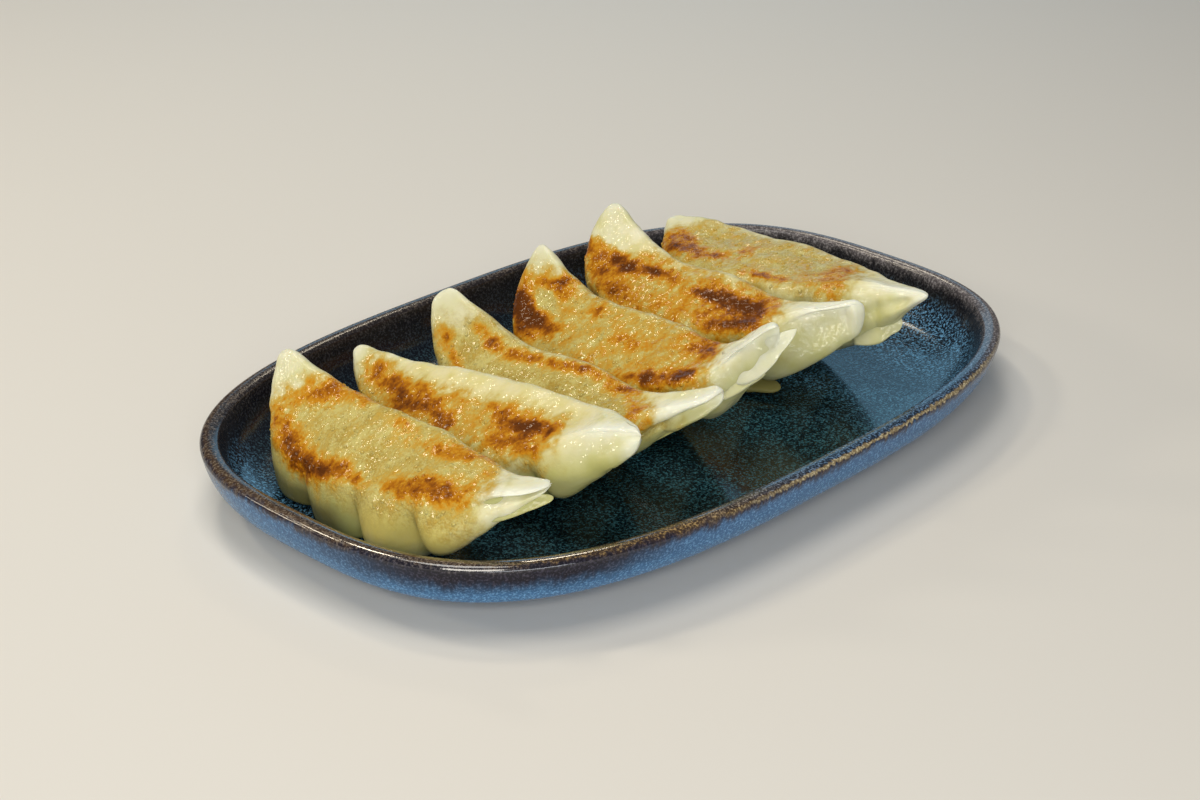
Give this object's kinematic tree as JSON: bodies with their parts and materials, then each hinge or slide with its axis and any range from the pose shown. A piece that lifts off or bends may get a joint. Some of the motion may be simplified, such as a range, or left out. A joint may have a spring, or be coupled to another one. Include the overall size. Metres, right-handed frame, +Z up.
{
  "type": "plate of pan-fried dumplings",
  "caption": "Rounded oval stoneware plate with a row of pan-fried half-moon dumplings lying browned side up.",
  "frame": {"origin": "middle of the plate's footprint, on the surface it stands on", "axes": "+X along the plate's long axis, +Y across it from the dumplings' near tips to their far tips, +Z up"},
  "size_m": [0.2258, 0.1384, 0.044],
  "materials": {
    "glazed_stoneware": "glossy dark blue reactive glaze with fine pale speckle, breaking to brown and ochre at the lip",
    "fried_dough": "soft cream dough, glossy with oil, with a golden pan-browned face"
  },
  "bodies": {
    "root": {"plate": "glazed_stoneware", "dumpling_1": "fried_dough", "dumpling_2": "fried_dough", "dumpling_3": "fried_dough", "dumpling_4": "fried_dough", "dumpling_5": "fried_dough", "dumpling_6": "fried_dough"}
  },
  "joints": []
}
